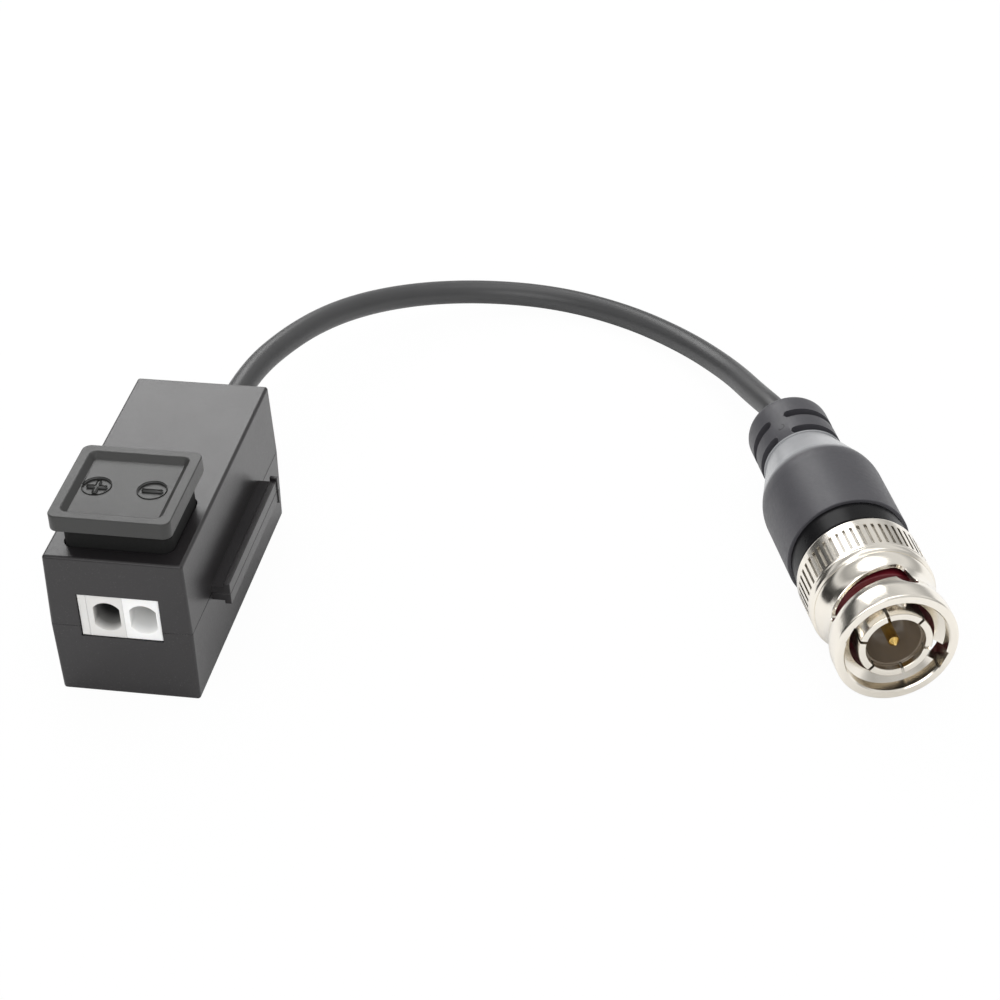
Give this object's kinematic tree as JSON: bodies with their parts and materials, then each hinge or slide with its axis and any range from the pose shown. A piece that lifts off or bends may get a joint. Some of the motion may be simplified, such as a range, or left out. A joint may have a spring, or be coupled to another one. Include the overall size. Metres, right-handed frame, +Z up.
{
  "type": "cctv video balun",
  "caption": "Passive video balun: push-release wire terminals in a slim stackable housing, with a short coaxial pigtail ending in a bayonet plug.",
  "frame": {"origin": "middle of the housing's underside, on the surface that it stands on", "axes": "+X to the right when facing the wire terminals, towards the rail; +Y from the terminals towards the cord; +Z up"},
  "size_m": [0.1049, 0.0907, 0.0245],
  "materials": {
    "case_plastic": "satin charcoal ABS, finely sparked",
    "button_plastic": "matte charcoal ABS",
    "grey_terminal_plastic": "light grey nylon",
    "white_terminal_plastic": "white nylon",
    "spring_steel": "stainless spring strip",
    "tinned_copper": "matt tin plating on copper",
    "board_laminate": "green solder mask on glass laminate",
    "ferrite": "sintered ferrite",
    "enamelled_wire": "enamelled copper wire",
    "black_component": "moulded epoxy",
    "capacitor_coating": "blue epoxy coating",
    "resistor_ceramic": "ceramic chip with tinned ends",
    "natural_nylon": "natural nylon",
    "grommet_vinyl": "dark grey soft vinyl",
    "cord_jacket": "satin dark grey vinyl",
    "boot_vinyl": "satin dark grey moulded vinyl, glossy on its cone",
    "nickel_plating": "bright warm nickel plating",
    "contact_nickel": "bright nickel plating",
    "taupe_insulator": "taupe acetal",
    "gold_plating": "polished gold plating",
    "red_gasket": "dark red silicone rubber"
  },
  "bodies": {
    "housing": {"housing_bottom": "case_plastic", "housing_top": "case_plastic", "terminal_end_plate": "grey_terminal_plastic", "terminal_positive": "grey_terminal_plastic", "terminal_negative": "white_terminal_plastic", "clamp_spring_positive": "spring_steel", "clamp_spring_negative": "spring_steel", "contact_bar_positive": "tinned_copper", "contact_bar_negative": "tinned_copper", "circuit_board": "board_laminate", "balun_core": "ferrite", "balun_winding": "enamelled_wire", "surge_suppressor": "black_component", "filter_capacitor": "capacitor_coating", "balance_resistor": "resistor_ceramic", "cord_clamp": "natural_nylon", "cord_grommet": "grommet_vinyl", "cord_end_in_housing": "cord_jacket", "coax_cord": "cord_jacket", "cord_end_in_plug": "cord_jacket", "plug_boot": "boot_vinyl", "crimp_ferrule": "nickel_plating", "plug_body": "nickel_plating", "plug_insulator": "taupe_insulator", "centre_pin": "gold_plating", "outer_contact": "contact_nickel", "plug_gasket": "red_gasket", "wave_washer": "spring_steel"},
    "button": {"press_button": "button_plastic"},
    "washer": {"thrust_washer": "nickel_plating"},
    "nut": {"coupling_nut": "nickel_plating", "snap_ring": "spring_steel"}
  },
  "joints": [
    {"name": "button_press", "type": "slide", "parent": "housing", "child": "button", "axis": [0, 0, -1], "range_m": [0, 0.0022], "stiffness_N_per_m": 60, "springref_m": -0.001, "deforming": ["clamp_spring_positive", "clamp_spring_negative"]},
    {"name": "nut_float", "type": "slide", "parent": "housing", "child": "washer", "axis": [0.3827, -0.9239, 0], "range_m": [0, 0.0004], "stiffness_N_per_m": 500, "springref_m": -0.0005, "deforming": ["wave_washer"]},
    {"name": "nut_turn", "type": "hinge", "parent": "washer", "child": "nut", "pos_m": [0.0874, -0.0077, 0.00745], "axis": [0.3827, -0.9239, 0], "continuous": true}
  ]
}
